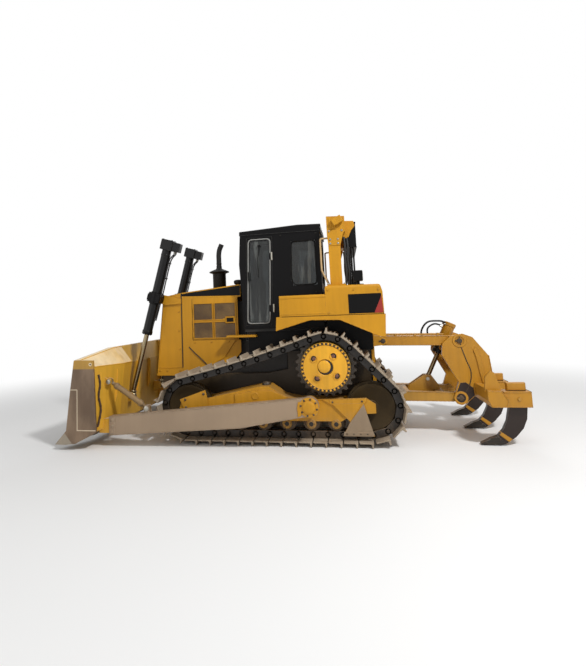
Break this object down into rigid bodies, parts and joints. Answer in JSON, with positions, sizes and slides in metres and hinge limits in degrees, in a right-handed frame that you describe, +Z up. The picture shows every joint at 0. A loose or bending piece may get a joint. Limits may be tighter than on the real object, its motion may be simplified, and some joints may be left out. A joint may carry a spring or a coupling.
{
  "type": "crawler bulldozer",
  "caption": "Crawler bulldozer with elevated drive sprockets, a semi-U blade on outside push arms, an enclosed cab with a rollover frame, and a parallelogram ripper.",
  "frame": {"origin": "on the ground under the middle of the machine's overall box", "axes": "+X forward towards the blade, +Y to the machine's left, +Z up"},
  "size_m": [6.43, 3.26, 3.192],
  "materials": {
    "yellow_paint": "semi-gloss, dusty",
    "black_paint": "semi-gloss",
    "dusty_paint": "matte, caked with dry earth",
    "engine_grey": "satin",
    "undercarriage_steel": "oily and dusty",
    "track_steel": "worn, with dry mud",
    "worn_steel": "scoured by earth",
    "shank_steel": "matte",
    "chrome": "polished",
    "glass": "clear, slightly tinted",
    "seat_fabric": "woven",
    "cab_trim": "matte",
    "handrail_paint": "satin"
  },
  "bodies": {
    "machine": {"main_frame": "yellow_paint", "belly_guard": "undercarriage_steel", "engine_block": "engine_grey", "radiator": "black_paint", "radiator_guard": "yellow_paint", "grille": "black_paint", "hood": "yellow_paint", "engine_panels": "yellow_paint", "exhaust": "black_paint", "fenders": "yellow_paint", "side_boxes": "yellow_paint", "fuel_tank": "yellow_paint", "cab_shell": "black_paint", "cab_roof": "black_paint", "cab_floor": "black_paint", "cab_glass": "glass", "seat": "seat_fabric", "controls": "cab_trim", "rops": "yellow_paint", "condenser": "black_paint", "lamps": "black_paint", "handrails": "handrail_paint", "final_drives": "yellow_paint", "idlers": "undercarriage_steel", "track_rollers": "undercarriage_steel", "roller_frames": "yellow_paint", "track_left": "track_steel", "track_right": "track_steel", "ripper_mount": "yellow_paint"},
    "blade_assembly": {"blade": "yellow_paint", "cutting_edge": "worn_steel", "push_arms": "dusty_paint", "blade_braces": "dusty_paint"},
    "door_left": {"door_left": "black_paint", "door_glass_left": "glass"},
    "door_right": {"door_right": "black_paint", "door_glass_right": "glass"},
    "lift_barrel_left": {"lift_barrel_left": "black_paint"},
    "lift_barrel_right": {"lift_barrel_right": "black_paint"},
    "lift_rod_left": {"lift_rod_left": "chrome"},
    "lift_rod_right": {"lift_rod_right": "chrome"},
    "ripper_lower_link": {"ripper_lower_link": "yellow_paint"},
    "ripper_upper_links": {"ripper_upper_links": "yellow_paint"},
    "ripper_frame": {"ripper_frame": "yellow_paint", "ripper_shanks": "shank_steel", "ripper_tips": "worn_steel"},
    "ripper_barrel": {"ripper_barrel": "yellow_paint"},
    "ripper_rod": {"ripper_rod": "chrome"}
  },
  "joints": [
    {"name": "blade_lift", "type": "hinge", "parent": "machine", "child": "blade_assembly", "pos_m": [-0.394, 0, 0.572], "axis": [0, -1, 0], "range_deg": [-7.5, 18.25]},
    {"name": "lift_pivot_left", "type": "hinge", "parent": "machine", "child": "lift_barrel_left", "pos_m": [2.065, 0.6, 2.14], "axis": [0, -1, 0], "range_deg": [-3.82, 8.87]},
    {"name": "lift_slide_left", "type": "slide", "parent": "lift_barrel_left", "child": "lift_rod_left", "axis": [0.2694, 0, -0.963], "range_m": [-0.9033, 0.3736]},
    {"name": "lift_pivot_right", "type": "hinge", "parent": "machine", "child": "lift_barrel_right", "pos_m": [2.065, -0.6, 2.14], "axis": [0, -1, 0], "range_deg": [-3.82, 8.87]},
    {"name": "lift_slide_right", "type": "slide", "parent": "lift_barrel_right", "child": "lift_rod_right", "axis": [0.2694, 0, -0.963], "range_m": [-0.9033, 0.3736]},
    {"name": "door_left", "type": "hinge", "parent": "machine", "child": "door_left", "pos_m": [0.12, 0.665, 2.3], "axis": [0, 0, 1], "range_deg": [0, 88]},
    {"name": "door_right", "type": "hinge", "parent": "machine", "child": "door_right", "pos_m": [0.12, -0.665, 2.3], "axis": [0, 0, -1], "range_deg": [0, 88]},
    {"name": "ripper_lift", "type": "hinge", "parent": "machine", "child": "ripper_lower_link", "pos_m": [-1.425, 0, 0.545], "axis": [0, 1, 0], "range_deg": [-28, 28]},
    {"name": "ripper_upper_pivot", "type": "hinge", "parent": "machine", "child": "ripper_upper_links", "pos_m": [-1.462, 0, 1.35], "axis": [0, 1, 0], "range_deg": [-28.3, 28.3]},
    {"name": "ripper_frame_pivot", "type": "hinge", "parent": "ripper_lower_link", "child": "ripper_frame", "pos_m": [-2.478, 0, 0.525], "axis": [0, 1, 0], "range_deg": [-28.3, 28.3]},
    {"name": "ripper_cylinder_pivot", "type": "hinge", "parent": "ripper_frame", "child": "ripper_barrel", "pos_m": [-2.348, 0, 1.239], "axis": [0, -1, 0], "range_deg": [-1.86, 1.86]},
    {"name": "ripper_cylinder_slide", "type": "slide", "parent": "ripper_barrel", "child": "ripper_rod", "axis": [0.4341, 0, -0.9008], "range_m": [-0.1988, 0.1988]}
  ],
  "couplings": [
    {"joint": "lift_pivot_left", "follows": "blade_lift", "ratio": 0.4695},
    {"joint": "lift_slide_left", "follows": "blade_lift", "m_per_rad": -2.8235},
    {"joint": "lift_pivot_right", "follows": "blade_lift", "ratio": 0.4695},
    {"joint": "lift_slide_right", "follows": "blade_lift", "m_per_rad": -2.8235},
    {"joint": "ripper_upper_pivot", "follows": "ripper_lift", "ratio": 1},
    {"joint": "ripper_frame_pivot", "follows": "ripper_lift", "ratio": -1},
    {"joint": "ripper_cylinder_pivot", "follows": "ripper_lift", "ratio": 0.0556},
    {"joint": "ripper_cylinder_slide", "follows": "ripper_lift", "m_per_rad": 0.3986}
  ]
}
